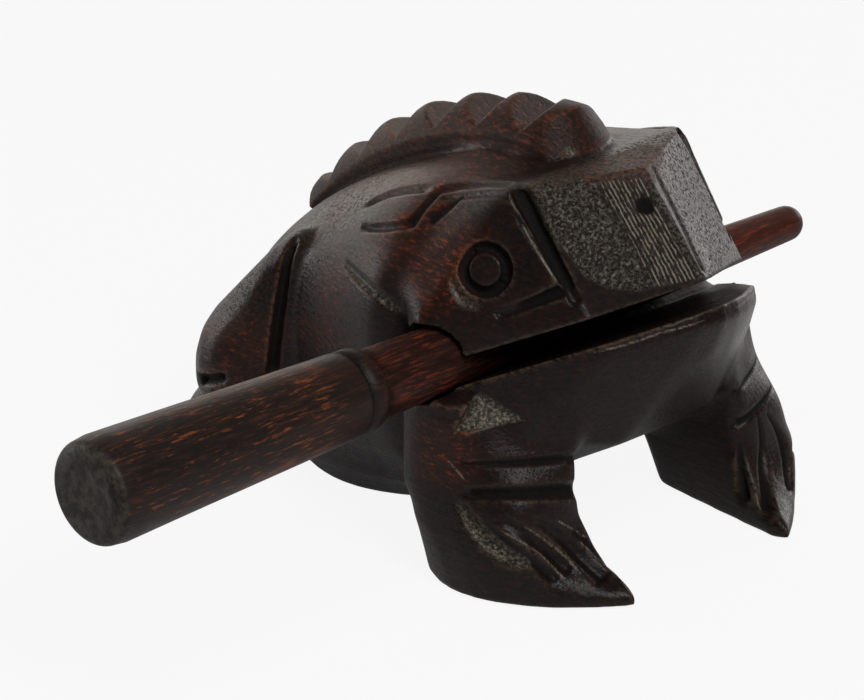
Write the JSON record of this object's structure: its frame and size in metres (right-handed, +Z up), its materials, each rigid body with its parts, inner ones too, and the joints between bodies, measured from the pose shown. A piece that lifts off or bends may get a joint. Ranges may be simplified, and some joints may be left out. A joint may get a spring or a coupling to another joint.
{
  "type": "frog guiro",
  "caption": "Carved wooden sitting frog with a toothed rasp ridge along its back and a turned stick stored in a cross hole behind its mouth slot, drawn out to scrape the teeth.",
  "frame": {"origin": "on the floor, on the frog's mid-plane, halfway from its lower lip to the end of its rump", "axes": "+Z up, +X to the frog's left along the stick towards its thin end, -Y the way the frog faces"},
  "size_m": [0.148, 0.0966, 0.0671],
  "materials": {
    "dark_wood": "satin",
    "stick_wood": "satin"
  },
  "bodies": {
    "frog": {"frog_body": "dark_wood"},
    "stick": {"scraper_stick": "stick_wood"}
  },
  "joints": [
    {"name": "stick_draw", "type": "slide", "parent": "frog", "child": "stick", "axis": [-1, 0, 0], "range_m": [0, 0.09]}
  ]
}
